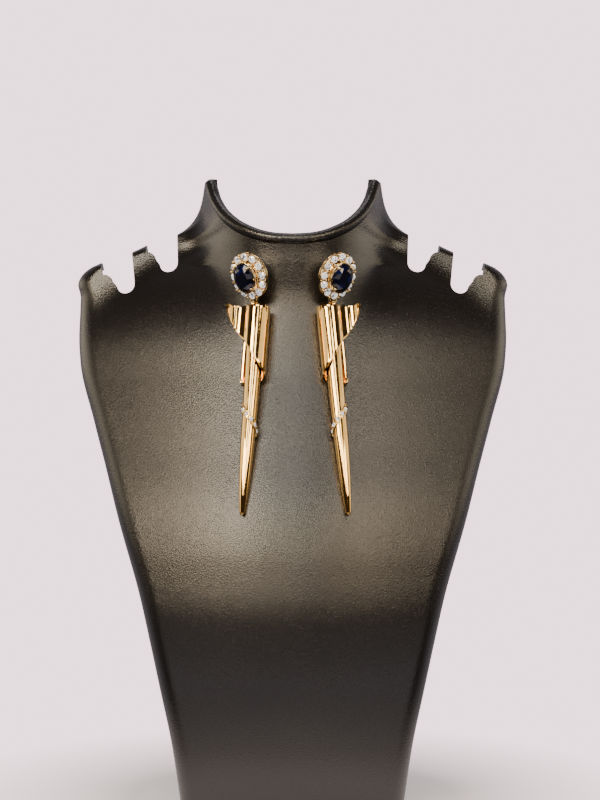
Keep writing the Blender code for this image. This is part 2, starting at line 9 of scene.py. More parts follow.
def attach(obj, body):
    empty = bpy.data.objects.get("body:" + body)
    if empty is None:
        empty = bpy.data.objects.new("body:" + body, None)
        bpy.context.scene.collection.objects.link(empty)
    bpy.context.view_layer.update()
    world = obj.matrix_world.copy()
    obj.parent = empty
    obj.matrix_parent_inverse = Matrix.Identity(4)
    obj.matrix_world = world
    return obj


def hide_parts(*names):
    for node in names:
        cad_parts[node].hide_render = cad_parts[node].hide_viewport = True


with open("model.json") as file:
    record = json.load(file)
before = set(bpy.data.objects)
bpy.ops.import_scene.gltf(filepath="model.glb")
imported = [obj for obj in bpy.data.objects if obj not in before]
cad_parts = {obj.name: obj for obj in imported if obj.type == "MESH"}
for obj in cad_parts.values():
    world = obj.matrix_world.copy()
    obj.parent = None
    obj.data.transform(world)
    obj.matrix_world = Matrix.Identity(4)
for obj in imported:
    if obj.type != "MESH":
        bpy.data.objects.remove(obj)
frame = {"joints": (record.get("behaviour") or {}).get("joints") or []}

mm = 0.001
up = Vector((0, 0, 1))
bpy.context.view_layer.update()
joints = {joint["name"]: joint for joint in frame["joints"]}


# shared tools

def readCurve(rows, at):  # the smooth value between rows of (place, value)
    if at <= rows[0][0]:
        return rows[0][1]
    if at >= rows[-1][0]:
        return rows[-1][1]
    i = max(n for n in range(len(rows) - 1) if rows[n][0] <= at)
    span = rows[i + 1][0] - rows[i][0]
    rise = (rows[i + 1][1] - rows[i][1]) / span

    def slope(n):
        if n == 0 or n == len(rows) - 1:
            return rise
        before = (rows[n][1] - rows[n - 1][1]) / (rows[n][0] - rows[n - 1][0])
        after = (rows[n + 1][1] - rows[n][1]) / (rows[n + 1][0] - rows[n][0])
        return 0.0 if before * after <= 0 else 2 * before * after / (before + after)

    t = (at - rows[i][0]) / span
    a, b, step = slope(i) * span, slope(i + 1) * span, rows[i + 1][1] - rows[i][1]
    return rows[i][1] + a * t + (3 * step - 2 * a - b) * t**2 + (a + b - 2 * step) * t**3


def smoothPath(points, steps):
    made = []
    for i in range(len(points) - 1):
        a, b = points[max(i - 1, 0)], points[i]
        c, d = points[i + 1], points[min(i + 2, len(points) - 1)]
        for n in range(steps):
            t = n / steps
            made.append(b + (c - a) * t / 2 + (a - b * 2.5 + c * 2 - d / 2) * t**2
                        + (b * 1.5 - c * 1.5 + (d - a) / 2) * t**3)
    return made + [points[-1]]


def newPiece(name, bm, finish, place=None, smooth=35):
    if place:
        bm.transform(place)
    mesh = bpy.data.meshes.new(name)
    bm.to_mesh(mesh)
    bm.free()
    mesh.materials.append(finish)
    if smooth:
        mesh.shade_smooth()
        mesh.set_sharp_from_angle(angle=math.radians(smooth))
    piece = bpy.data.objects.new(name, mesh)
    bpy.context.scene.collection.objects.link(piece)
    return piece


def settle(piece, smooth=35):  # bakes the live modifiers into the mesh
    bpy.context.view_layer.update()
    graph = bpy.context.evaluated_depsgraph_get()
    baked = bpy.data.meshes.new_from_object(piece.evaluated_get(graph))
    piece.modifiers.clear()
    piece.data = baked
    baked.shade_smooth()
    baked.set_sharp_from_angle(angle=math.radians(smooth))
    return piece


def cutAway(piece, cutter, smooth=35):
    step = piece.modifiers.new("cut", "BOOLEAN")
    step.operation, step.solver, step.object = "DIFFERENCE", "MANIFOLD", cutter
    settle(piece, smooth)
    bpy.data.objects.remove(cutter)


def softenEdges(bm, verts, width):  # bevels the sharp edges of one closed body
    edges = {e for v in verts for e in v.link_edges if len(e.link_faces) == 2}
    sharp = [e for e in edges if e.calc_face_angle(0) > math.radians(40)]
    bmesh.ops.bevel(bm, geom=sharp, offset=width, affect="EDGES", segments=2, profile=0.5,
                    material=-1, clamp_overlap=True)


# spins a closed profile of (radius, height) in mm round Z
# with oval=(long, short) the radius is read as a way off that ellipse
def turned(bm, profile, steps=64, matrix=None, oval=None):
    base = 10 * mm if oval else 0
    verts = [bm.verts.new((base + r * mm, 0, z * mm)) for r, z in profile]
    edges = [bm.edges.new((verts[i], verts[(i + 1) % len(verts)])) for i in range(len(verts))]
    kept = set(bm.verts) - set(verts)
    bmesh.ops.spin(bm, geom=verts + edges, cent=(0, 0, 0), axis=(0, 0, 1), angle=math.tau,
                   steps=steps, use_merge=True)
    made = [v for v in bm.verts if v not in kept]
    if oval:
        for v in made:
            a, way = math.atan2(v.co.y, v.co.x), math.hypot(v.co.x, v.co.y) - base
            v.co.x = (oval[1] + way) * math.cos(a)
            v.co.y = (oval[0] + way) * math.sin(a)
    faces = list({f for v in made for f in v.link_faces})
    bmesh.ops.recalc_face_normals(bm, faces=faces)
    if matrix:
        bmesh.ops.transform(bm, matrix=matrix, verts=made)


def ball(bm, centre, radius):
    bmesh.ops.create_icosphere(bm, subdivisions=2, radius=radius, matrix=Matrix.Translation(centre))


def addWire(bm, points, radius, taper=None):  # a round wire along points, closed at its ends
    curve = bpy.data.curves.new("wire", "CURVE")
    curve.dimensions, curve.bevel_depth = "3D", radius
    curve.bevel_resolution, curve.use_fill_caps = 5, True
    line = curve.splines.new("POLY")
    line.points.add(len(points) - 1)
    for i, (spot, p) in enumerate(zip(line.points, points)):
        spot.co = (*p, 1)
        spot.radius = taper[i] if taper else 1
    holder = bpy.data.objects.new("wire", curve)
    bpy.context.scene.collection.objects.link(holder)
    bpy.context.view_layer.update()
    mesh = bpy.data.meshes.new_from_object(holder.evaluated_get(bpy.context.evaluated_depsgraph_get()))
    bpy.data.objects.remove(holder)
    held = set(bm.verts)
    bm.from_mesh(mesh)
    bpy.data.meshes.remove(mesh)
    made = [v for v in bm.verts if v not in held]
    bmesh.ops.remove_doubles(bm, verts=made, dist=1e-7)
    made = [v for v in bm.verts if v not in held]
    bmesh.ops.recalc_face_normals(bm, faces=list({f for v in made for f in v.link_faces}))


# shader sums

class Value:
    def __init__(self, recipe, socket):
        self.recipe, self.socket = recipe, socket

    def sum(self, kind, first, second):
        return self.recipe.node("ShaderNodeMath", {"operation": kind}, {0: first, 1: second})

    def __add__(self, other):
        return self.sum("ADD", self, other)

    def __mul__(self, other):
        return self.sum("MULTIPLY", self, other)


class Recipe:  # the nodes of one material, or of the world
    def __init__(self, name, owner=None):
        self.owner = owner or bpy.data.materials.new(name)
        self.owner.use_nodes = True
        self.tree = self.owner.node_tree
        self.tree.nodes.clear()

    def node(self, kind, settings=None, inputs=None, output=0):
        made = self.tree.nodes.new(kind)
        for key, value in (settings or {}).items():
            if key == "stops":
                while len(made.color_ramp.elements) < len(value):
                    made.color_ramp.elements.new(0.5)
                for stop, (place, colour) in zip(made.color_ramp.elements, value):
                    stop.position, stop.color = place, (*colour, 1)
            else:
                setattr(made, key, value)
        for key, value in (inputs or {}).items():
            if isinstance(value, Value):
                self.tree.links.new(value.socket, made.inputs[key])
            else:
                made.inputs[key].default_value = value
        return Value(self, made.outputs[output]) if made.outputs else None

    def place(self, scale=(1, 1, 1)):
        return self.node("ShaderNodeMapping", None, {"Vector": self.coordinates(), "Scale": scale})

    def coordinates(self):
        return self.node("ShaderNodeTexCoord", output="Object")

    def noise(self, scale, detail=2.0, rough=0.5, vector=None):
        return self.node("ShaderNodeTexNoise", None, {
            "Vector": vector or self.coordinates(), "Scale": scale, "Detail": detail, "Roughness": rough})

    def cells(self, scale, output=0):  # output 1 is a random colour for each cell
        return self.node("ShaderNodeTexVoronoi", None, {
            "Vector": self.coordinates(), "Scale": scale}, output)

    def blend(self, factor, first, second):
        return self.node("ShaderNodeMix", {"data_type": "RGBA"}, {0: factor, 6: first, 7: second}, 2)

    def ramp(self, factor, stops):
        return self.node("ShaderNodeValToRGB", {"stops": stops}, {0: factor})

    def spread(self, value, low, high, toLow=0.0, toHigh=1.0):
        return self.node("ShaderNodeMapRange", None, {
            "Value": value, "From Min": low, "From Max": high, "To Min": toLow, "To Max": toHigh})

    def bump(self, height, strength, distance):
        return self.node("ShaderNodeBump", None, {
            "Height": height, "Strength": strength, "Distance": distance})

    def finish(self, inputs):
        shader = self.node("ShaderNodeBsdfPrincipled", None, inputs)
        self.node("ShaderNodeOutputMaterial", None, {0: shader})
        return self.owner


# finishes

plasticLook = {
    "dark": (0.0050, 0.0042, 0.0042, 1), "light": (0.0095, 0.0080, 0.0075, 1),
    "grain": 2100.0, "grainDepth": 0.07 * mm, "roughness": (0.18, 0.29),
}
goldLook = {"warm": (0.93, 0.580, 0.185, 1), "pale": (0.96, 0.645, 0.25, 1), "roughness": (0.025, 0.115)}
settingLook = {"warm": (0.97, 0.735, 0.39, 1), "pale": (0.98, 0.79, 0.48, 1), "roughness": (0.04, 0.13)}
# blueLook: deep is the stone's own navy; bright is a painted glint colour standing in for light inside the
# stone
blueLook = {"deep": (0.0012, 0.0018, 0.012, 1), "bright": (0.003, 0.009, 0.11, 1)}
# clearLook: the stone is drawn opaque; its dark, grey and white shades are painted sparkle on the facets,
# its warm shade is a painted reflection of the gold, and its emission strength is a painted light of its
# own
clearLook = {"white": (0.95, 0.95, 0.97), "grey": (0.34, 0.35, 0.40), "dark": (0.07, 0.075, 0.10),
             "paintedGoldGlint": (0.95, 0.82, 0.56), "paintedGlow": 0.8}


def grainedPlastic():
    r = Recipe("black grained plastic")
    pebble = r.cells(plasticLook["grain"])
    fine = r.noise(3700.0, 2.0, 0.6)
    cloud = r.noise(28.0, 4.0, 0.55)
    grain = r.bump(pebble * 0.8 + fine * 0.4, 0.9, plasticLook["grainDepth"])
    wear = r.spread(cloud, 0.35, 0.7)
    colour = r.blend(wear * 0.6 + fine * 0.4, plasticLook["dark"], plasticLook["light"])
    rough = r.spread(pebble * 0.6 + cloud * 0.4, 0.1, 0.8, *plasticLook["roughness"])
    return r.finish({"Base Color": colour, "Roughness": rough, "Normal": grain, "IOR": 1.6,
                     "Specular IOR Level": 0.7})


def polishedGold(name, look, waves=1.0):
    r = Recipe(name)
    broad = r.noise(140.0, 2.0)
    scuff = r.noise(1500.0, 3.0, 0.6, r.place((1, 1, 0.12)))
    colour = r.blend(r.spread(broad, 0.3, 0.7), look["warm"], look["pale"])
    rough = r.spread(scuff, 0.35, 0.75, *look["roughness"])
    form = r.bump(broad * waves + scuff * 0.03, 0.015, 0.0004)
    return r.finish({"Base Color": colour, "Metallic": 1.0, "Roughness": rough, "Normal": form})


def deepBlue():
    r = Recipe("deep blue stone")
    # random cells are painted in the bright blue: painted glints, not a colour the stone has under any lamp
    cell = r.cells(620.0, 1)
    light = r.node("ShaderNodeSeparateColor", None, {0: cell})
    facet = r.spread(light, 0.74, 0.98)
    colour = r.blend(facet, blueLook["deep"], blueLook["bright"])
    rough = r.spread(r.noise(400.0), 0.3, 0.7, 0.03, 0.07)
    return r.finish({"Base Color": colour, "Roughness": rough, "IOR": 1.77, "Coat Weight": 0.3,
                     "Coat Roughness": 0.03})


def clearStone():
    r = Recipe("clear stone")
    # random cells are painted dark, grey, white and warm: painted sparkle and painted reflections of the
    # gold, standing in for light inside the stone
    cell = r.cells(1900.0, 1)
    light = r.node("ShaderNodeSeparateColor", None, {0: cell})
    shades = ((0.08, "dark"), (0.30, "grey"), (0.48, "white"), (0.84, "white"), (0.98, "paintedGoldGlint"))
    colour = r.ramp(light, [(place, clearLook[shade]) for place, shade in shades])
    rough = r.spread(r.noise(900.0), 0.3, 0.7, 0.03, 0.08)
    # the painted colour is also emitted, as painted light, though the stone is no lamp
    return r.finish({"Base Color": colour, "Roughness": rough, "IOR": 2.1, "Metallic": 0.25,
                     "Emission Color": colour, "Emission Strength": clearLook["paintedGlow"]})


plastic = grainedPlastic()
gold = polishedGold("polished gold", settingLook)
spikeGold = polishedGold("polished spike gold", goldLook, 0.5)
blue, clear = deepBlue(), clearStone()
print("finishes made")


# bust

bust = {
    "height": 212 * mm, "halfWidth": 76.8 * mm, "depth": 70 * mm, "wall": 2.4 * mm, "rimRound": 0.45 * mm,
    "edgeRound": 6 * mm, "chestRadius": 70 * mm, "sideDrop": 24 * mm, "blend": 8 * mm,
    "neckWidth": 0.4036, "neckReach": 0.543, "neckDepth": 34 * mm,
    "lip": 2.1 * mm, "lipEnds": (0.5, 0.87), "lipStep": 0.42, "necklineWidth": 0.375,
    "necklineDrop": 21 * mm,
    "columns": 132, "rows": 150, "smoothBand": (0.86, 0.985), "smoothRounds": 10,
    "shares": (0.62, 0.16, 0.22),  # of the columns: the front, its rounded edge, the side behind it
    # share of the height, share of the half width
    "silhouette": [
        (0, .480), (.091, .515), (.181, .567), (.258, .615), (.327, .662), (.443, .765), (.524, .832),
        (.599, .897), (.695, .974), (.750, .987), (.806, .986), (.828, 1.0), (.842, .985), (.860, .925),
        (.883, .745), (.900, .650), (.914, .525), (.942, .449), (.964, .426), (1.0, .410)],
    # share of the height, how far forward from the back as a share of the depth
    "chest": [
        (0, .929), (.095, .976), (.212, 1.0), (.283, .989), (.378, .940), (.457, .874), (.566, .749),
        (.661, .643), (.745, .550), (.812, .443), (.868, .314), (.926, .120), (1.0, -.200)],
    # share of the neckline's half width, share of its drop
    "neckline": [(0, 1.0), (.16, .99), (.33, .95), (.60, .795), (.80, .57), (.93, .29), (1.0, 0)],
    "notches": [(.564, .846, 8), (.759, .811, 12)],  # side and foot as shares, tilt in degrees
    "mouth": 9.0 * mm, "foot": 6.6 * mm, "notchDepth": 8.5 * mm, "flare": 3.0 * mm,
}


def halfWidth(z):
    return bust["halfWidth"] * readCurve(bust["silhouette"], z / bust["height"])


def softLeast(a, b, reach):  # the smaller value, rounded off where the two are near
    near = max(reach - abs(a - b), 0) / reach
    return min(a, b) - near * near * reach / 4


def chestFront(x, z):  # the outer face of chest and neck
    wide, drop, radius = bust["halfWidth"], bust["sideDrop"], bust["chestRadius"]
    share = drop * drop / (wide * wide - 2 * radius * drop)
    hollow = radius * share
    across = math.sqrt(hollow * hollow + share * x * x) - hollow
    chest = bust["depth"] / 2 - bust["depth"] * readCurve(bust["chest"], z / bust["height"]) + across
    side = min(abs(x) / (bust["neckWidth"] * wide), 0.995)
    neck = bust["depth"] / 2 - bust["depth"] * bust["neckReach"]
    neck += bust["neckDepth"] * (1 - math.sqrt(1 - side * side))
    deepest = bust["depth"] / 2 - 1.3 * bust["edgeRound"]
    return softLeast(softLeast(chest, neck, bust["blend"]), deepest, bust["blend"])


def necklineHeight(x):
    share = min(abs(x) / (bust["necklineWidth"] * bust["halfWidth"]), 1)
    return bust["height"] - bust["lip"] - readCurve(bust["neckline"], share) * bust["necklineDrop"]


# a point of the right half at this height: the front, the rounded edge, then straight to the back
def bustContour(share, z):
    turn, (front, edge, side) = bust["edgeRound"], bust["shares"]
    flat = halfWidth(z) - turn
    if share <= front:
        x = flat * share / front
        return x, chestFront(x, z)
    a = math.pi / 2 * min((share - front) / edge, 1)
    x = flat + turn * math.sin(a)
    y = chestFront(x, z) + turn * (1 - math.cos(a))
    if share > front + edge:
        y += (bust["depth"] / 2 - y) * (share - front - edge) / side
    return x, y


def topOf(share):  # where a column ends under the neckline
    high = bust["height"]
    if bustContour(share, high)[0] >= bust["necklineWidth"] * bust["halfWidth"]:
        return high
    for n in range(60):
        high += (necklineHeight(bustContour(share, high)[0]) - high) * 0.35
    return high


# heights spaced evenly along the silhouette, so the shoulders get closer rows
def evenLevels(count, parts=2000):
    fine = [bust["height"] * n / parts for n in range(parts + 1)]
    run = [0]
    for a, b in zip(fine, fine[1:]):
        run.append(run[-1] + math.hypot(b - a, halfWidth(b) - halfWidth(a)))
    made, i = [], 0
    for n in range(count + 1):
        while i < parts and run[i] < run[-1] * n / count:
            i += 1
        made.append(fine[i])
    return made


def notchCutter(number, side):
    across, foot, tilt = bust["notches"][number]
    low, mouth, deep, flare = bust["foot"] / 2, bust["mouth"] / 2, bust["notchDepth"], bust["flare"]
    outline = [(-mouth, 2 * deep)]
    for n in range(13):
        a = math.pi * n / 12
        outline.append((-low * math.cos(a), low * (1 - math.sin(a))))
    for n in range(7):
        a = math.pi / 2 * n / 6
        outline.append((mouth + flare * (1 - math.cos(a)), deep - flare * (1 - math.sin(a))))
    outline.append((mouth + flare, 2 * deep))
    bm = bmesh.new()
    face = bm.faces.new([bm.verts.new((side * x, 0, z)) for x, z in outline])
    pushed = bmesh.ops.extrude_face_region(bm, geom=[face])["geom"]
    deepWay = Vector((0, bust["depth"], 0))
    bmesh.ops.translate(bm, vec=deepWay, verts=[v for v in pushed if isinstance(v, bmesh.types.BMVert)])
    bmesh.ops.translate(bm, vec=-deepWay / 2, verts=bm.verts)
    bmesh.ops.recalc_face_normals(bm, faces=bm.faces)
    turn = Matrix.Rotation(math.radians(tilt) * side, 4, "Y")
    spot = Matrix.Translation((side * across * bust["halfWidth"], bust["depth"] / 4, foot * bust["height"]))
    return newPiece("notchCutter", bm, plastic, spot @ turn)


def makeBust():
    bm = bmesh.new()
    bmesh.ops.create_grid(bm, x_segments=bust["columns"], y_segments=bust["rows"], size=1)
    levels, tops = evenLevels(bust["rows"]), {}
    for v in bm.verts:
        share = round(abs(v.co.x), 5)
        if share not in tops:
            tops[share] = topOf(share)
        z = levels[round((v.co.y + 1) / 2 * bust["rows"])] * tops[share] / bust["height"]
        x, y = bustContour(share, z)
        v.co = (x if v.co.x > 0 else -x, y, z)
    # the base of the neck is eased, so the wall behind it doesn't fold
    low, high = bust["smoothBand"]
    pinched = [v for v in bm.verts if low < v.co.z / bust["height"] < high and not v.is_boundary]
    for n in range(bust["smoothRounds"]):
        bmesh.ops.smooth_vert(bm, verts=pinched, factor=0.5,
                              use_axis_x=True, use_axis_y=True, use_axis_z=True)
    bm.normal_update()
    middle = min(bm.faces, key=lambda f: f.calc_center_median().y)
    if middle.normal.y > 0:
        bmesh.ops.reverse_faces(bm, faces=bm.faces)
    shell = newPiece("neckBust", bm, plastic)
    wall = shell.modifiers.new("wall", "SOLIDIFY")
    wall.thickness, wall.offset = bust["wall"], -1
    rim = shell.modifiers.new("rim", "BEVEL")
    rim.width, rim.segments = bust["rimRound"], 2
    rim.limit_method, rim.angle_limit = "ANGLE", math.radians(60)
    settle(shell)
    for number in range(len(bust["notches"])):
        for side in (-1, 1):
            cutAway(shell, notchCutter(number, side))
    points, lip, ends = [], bust["lip"], bust["lipEnds"]
    reach = bust["necklineWidth"] * bust["halfWidth"]
    for n in range(-30, 31):
        x = reach * math.sin(math.pi / 2 * n / 30)
        z = necklineHeight(x)
        y = min(chestFront(x, z) + bust["wall"] / 2, bust["depth"] / 2 - lip)
        points.append(Vector((x, y, z)))
    # the lip ends in two thinner steps at each side
    first = (points[0] - points[1]).normalized() * lip * bust["lipStep"]
    last = (points[-1] - points[-2]).normalized() * lip * bust["lipStep"]
    sizes = [*ends] + [1] * len(points) + [*reversed(ends)]
    for n in range(len(ends)):
        points = [points[0] + first] + points + [points[-1] + last]
    rolled = bmesh.new()
    addWire(rolled, points, lip, sizes)
    rolledLip = newPiece("neckLip", rolled, plastic, smooth=60)
    for piece in (shell, rolledLip):
        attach(piece, "bust")
    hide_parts("bust_shell")


makeBust()
print("bust made")


# stones

# a cut stone with its girdle's top at z = 0: the points of its facets inside their hull
def brilliant(bm, long, short, matrix, crown, pavilion, table=0.58, girdle=0.12 * mm, turn=0.0):
    held = set(bm.verts)
    # points, turn in steps, share of the width, height
    rings = [(8, 0.0, table, crown), (8, 0.5, 0.81, crown * 0.60),
             (16, 0.0, 1.0, 0.0), (16, 0.0, 1.0, -girdle),
             (8, 0.5, 0.62, -girdle - pavilion * 0.46), (8, 0.0, 0.05, -girdle - pavilion)]
    verts = []
    for count, shift, share, z in rings:
        for n in range(count):
            a = math.tau * (n + shift) / count + turn
            verts.append(bm.verts.new((short * share * math.cos(a), long * share * math.sin(a), z)))
    bmesh.ops.convex_hull(bm, input=verts)
    made = [v for v in bm.verts if v not in held]
    flat = list({e for v in made for e in v.link_edges})
    bmesh.ops.dissolve_limit(bm, angle_limit=math.radians(1.5), verts=made, edges=flat)
    made = [v for v in bm.verts if v not in held]
    bmesh.ops.transform(bm, matrix=matrix, verts=made)


# stud clusters

cluster = {
    "yaw": 35, "droop": 20, "standOff": 10.0 * mm, "long": 6.7 * mm, "short": 5.75 * mm, "stones": 12,
    "stoneRadius": 1.27 * mm, "stoneLift": 0.25 * mm,
    "haloCut": {"crown": 0.44 * mm, "pavilion": 0.85 * mm},
    "centreLong": 5.0 * mm, "centreShort": 4.0 * mm, "centreLift": 2.9 * mm,
    "centreCut": {"crown": 1.3 * mm, "pavilion": 2.9 * mm, "table": 0.62, "girdle": 0.25 * mm},
    # closed profiles in mm: way off the oval, or for the collar off a stone's middle, then height
    "plate": [(1.10, -0.05), (1.20, -0.15), (1.20, -1.15), (1.10, -1.30), (-2.6, -1.30), (-2.6, -0.05)],
    "gallery": [(1.28, -1.15), (1.18, -1.45), (-0.05, -2.85), (-0.15, -3.0), (-0.8, -3.0), (-0.85, -2.9),
                (0.5, -1.15)],
    "galleryRing": [(0.10, -2.50), (0.24, -2.62), (0.24, -2.86), (0.10, -3.02), (-0.5, -3.02),
                    (-0.5, -2.50)],
    "basket": [(0.02, 2.36), (0.16, 2.46), (0.34, 2.42), (0.45, 2.28), (0.40, 1.9), (-0.80, -0.6),
               (-1.3, -0.6)],
    "collar": [(1.25, 0.12), (1.31, 0.17), (1.40, 0.10), (1.43, 0.0), (1.40, -0.55), (1.22, -1.20),
               (0.9, -1.25), (0.9, -0.62)],
    # between two stones: way off the oval as a share of the stone's radius, then height
    "outerBead": (0.78, 0.30 * mm), "outerRadius": 0.36 * mm,
    "innerBead": (-0.66, 0.32 * mm), "innerRadius": 0.30 * mm,
    "stemFoot": (0.62, -0.9 * mm), "stemRadius": 0.3 * mm,
    "claw": 0.42 * mm, "clawGap": 0.15 * mm, "clawBall": 0.55 * mm, "clawFoot": (0.74, 0.6 * mm),
    "clawTip": (0.2 * mm, 0.75 * mm), "ballSpot": (0.08 * mm, 0.85 * mm),
    "bar": (2.4 * mm, 11.4 * mm, 0.7 * mm), "barBelow": 2.65 * mm, "barRound": 0.15 * mm,
    "post": 0.4 * mm, "postInside": 1.2 * mm, "postStart": 2.5 * mm,
    "postPoint": 0.3 * mm, "pointShare": 0.55,
    "loopWire": 0.35 * mm, "loopWidth": 1.05 * mm, "loopCorner": 0.5 * mm, "loopRise": 1.3 * mm,
    "hingeBelow": 1.4 * mm,
}
earrings = {
    "left": {"sign": -1, "side": 0.1927, "height": 0.8297, "lean": 4.0, "forward": 15.4},
    "right": {"sign": 1, "side": 0.2005, "height": 0.8297, "lean": 5.2, "forward": 15.4},
}


def clusterFrame(earring):  # +Z out of the halo, +Y up along it
    sign, yaw, droop = earring["sign"], math.radians(cluster["yaw"]), math.radians(cluster["droop"])
    heading = Vector((sign * math.sin(yaw), -math.cos(yaw), 0))
    out = heading * math.cos(droop) - up * math.sin(droop)
    high = heading * math.sin(droop) + up * math.cos(droop)
    turn = Matrix((high.cross(out), high, out)).transposed().to_4x4()
    x, z = sign * earring["side"] * bust["halfWidth"], earring["height"] * bust["height"]
    return Matrix.Translation((x, chestFront(x, z) - cluster["standOff"], z)) @ turn


def haloTurn(number):  # spaces the stones evenly along the oval
    even = math.pi / 2 + math.tau * number / cluster["stones"]
    flatness = (cluster["long"] - cluster["short"]) / (cluster["long"] + cluster["short"])
    return even - flatness / 2 * math.sin(2 * even)


def haloPoint(number, grow, z):
    a = haloTurn(number)
    return Vector(((cluster["short"] + grow) * math.cos(a), (cluster["long"] + grow) * math.sin(a), z))


def between(number, spot):  # a point halfway to the next halo stone
    return haloPoint(number + 0.5, cluster["stoneRadius"] * spot[0], spot[1])


def makeSetting(name, earring, place, hinge):
    bm = bmesh.new()
    oval = (cluster["long"], cluster["short"])
    for part in ("plate", "gallery", "galleryRing"):
        turned(bm, cluster[part], 72, oval=oval)
    turned(bm, cluster["basket"], 64, oval=(cluster["centreLong"], cluster["centreShort"]))
    for n in range(cluster["stones"]):
        turned(bm, cluster["collar"], 24, Matrix.Translation(haloPoint(n, 0, 0)))
        ball(bm, between(n, cluster["outerBead"]), cluster["outerRadius"])
        ball(bm, between(n, cluster["innerBead"]), cluster["innerRadius"])
        stem = [between(n, cluster["stemFoot"]), between(n, cluster["outerBead"])]
        addWire(bm, stem, cluster["stemRadius"])
    lift, (foot, below) = cluster["centreLift"], cluster["clawFoot"]
    (tipOut, tipUp), (ballOut, ballUp) = cluster["clawTip"], cluster["ballSpot"]
    for n in range(4):
        a = math.tau * (n + 0.5) / 4
        edge = Vector((cluster["centreShort"] * math.cos(a), cluster["centreLong"] * math.sin(a), 0))
        out = edge.normalized()
        side = edge + out * (cluster["claw"] + cluster["clawGap"])
        path = smoothPath([edge * foot - up * below, side + up * lift * 0.55, side + up * lift,
                           edge + out * tipOut + up * (lift + tipUp)], 6)
        addWire(bm, path, cluster["claw"])
        ball(bm, edge + out * ballOut + up * (lift + ballUp), cluster["clawBall"])
    bar = Matrix.Translation((0, 0, -cluster["barBelow"])) @ Matrix.Diagonal((*cluster["bar"], 1))
    made = bmesh.ops.create_cube(bm, size=1, matrix=bar)["verts"]
    softenEdges(bm, made, cluster["barRound"])
    bmesh.ops.transform(bm, matrix=place, verts=bm.verts)

    # the post runs from the gallery through the wall of the bust
    middle, inward, length = place.translation, place.to_3x3() @ Vector((0, 0, -1)), 0
    while (middle + inward * length).y < chestFront(*(middle + inward * length).xz):
        length += 0.1 * mm
    end = length + bust["wall"] / max(inward.y, 0.5) + cluster["postInside"]
    post = [middle + inward * s for s in (cluster["postStart"], end - cluster["postPoint"], end)]
    addWire(bm, post, cluster["post"], taper=[1, 1, cluster["pointShare"]])

    # the loop is a U with its flat bar on the hinge
    axis, corner = hinge.to_3x3() @ Vector((1, 0, 0)), cluster["loopCorner"]
    bend = cluster["loopWidth"] - corner
    half = [(-cluster["loopWidth"], cluster["hingeBelow"] + cluster["loopRise"])]
    for n in range(9):
        a = math.pi / 2 * n / 8
        half.append((-bend - corner * math.cos(a), corner * (1 - math.sin(a))))
    loop = half + [(-x, z) for x, z in reversed(half)]
    addWire(bm, [hinge.translation + axis * x + up * z for x, z in loop], cluster["loopWire"])
    piece = newPiece(name + "Setting", bm, gold, smooth=40)
    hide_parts(name + "_cluster_setting")
    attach(piece, "bust")


def makeClusterStones(name, place):
    bm = bmesh.new()
    lift = Matrix.Translation((0, 0, cluster["centreLift"]))
    brilliant(bm, cluster["centreLong"], cluster["centreShort"], place @ lift, **cluster["centreCut"])
    piece = newPiece(name + "CentreStone", bm, blue, smooth=0)
    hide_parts(name + "_centre_stone")
    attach(piece, "bust")
    radius = cluster["stoneRadius"]
    for n in range(cluster["stones"]):
        bm = bmesh.new()
        spot = Matrix.Translation(haloPoint(n, 0, cluster["stoneLift"]))
        brilliant(bm, radius, radius, place @ spot, **cluster["haloCut"], turn=haloTurn(n))
        piece = newPiece(f"{name}HaloStone{n + 1:02d}", bm, clear, smooth=0)
        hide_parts(f"{name}_halo_stone_{n + 1:02d}")
        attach(piece, "bust")


# drops

drop = {
    "length": 71.4 * mm, "topRadius": 3.3 * mm, "tipRadius": 0.9 * mm, "coneTop": 0.7 * mm,
    "rimBelow": 1.5 * mm, "bailOffset": 1.45 * mm, "bailBelow": 0.53 * mm,
    # share of the length, share of the top radius
    "spike": [(0, 1.0), (.18, .92), (.34, .83), (.43, .79), (.52, .74), (.63, .72), (.74, .65), (.84, .54),
              (.94, .39)],
    "tube": 4.25 * mm, "wall": 0.8 * mm, "wrapRound": 0.38 * mm, "wrapDepth": 27.5 * mm,
    "wingReach": 6.9 * mm,
    # degrees round the spike, share of the wrap's depth
    "wrapEdge": [(-64, .445), (-17, .600), (18, .722), (53, .798), (90, .865), (160, .935), (230, .985),
                 (256, .950)],
    # shares of the wing's reach outward and back, share of the wrap's depth
    "wing": [(1.0, -.12, .020), (.92, 0, .115), (.76, .11, .210), (.56, .18, .285), (.34, .17, .355),
             (.14, .09, .412)],
    # closed profiles in mm: radius, height
    "cap": [(0, -0.30), (3.5, -0.30), (3.95, -0.42), (3.95, -1.1), (0, -1.1)],
    "bail": [(1.0, -0.35), (1.12, -0.48), (1.38, -0.48), (1.5, -0.35), (1.5, 0.35), (1.38, 0.48),
             (1.12, 0.48), (1.0, 0.35)],
}
band = {
    "width": 1.9 * mm, "rise": 0.4 * mm, "wall": 0.85 * mm, "round": 0.12 * mm,
    "start": 34.4 * mm, "fall": 9.6 * mm, "from": -90, "to": 110,
    "stones": 5, "stoneRadius": 0.7 * mm, "first": -56, "last": 86,
    "cut": {"crown": 0.24 * mm, "pavilion": 0.42 * mm, "girdle": 0.06 * mm},
    "seatGap": 0.08 * mm, "seatDepth": 0.6 * mm, "seatBelow": 0.2 * mm,
    "bead": 0.22 * mm, "beadShare": 0.6,
}


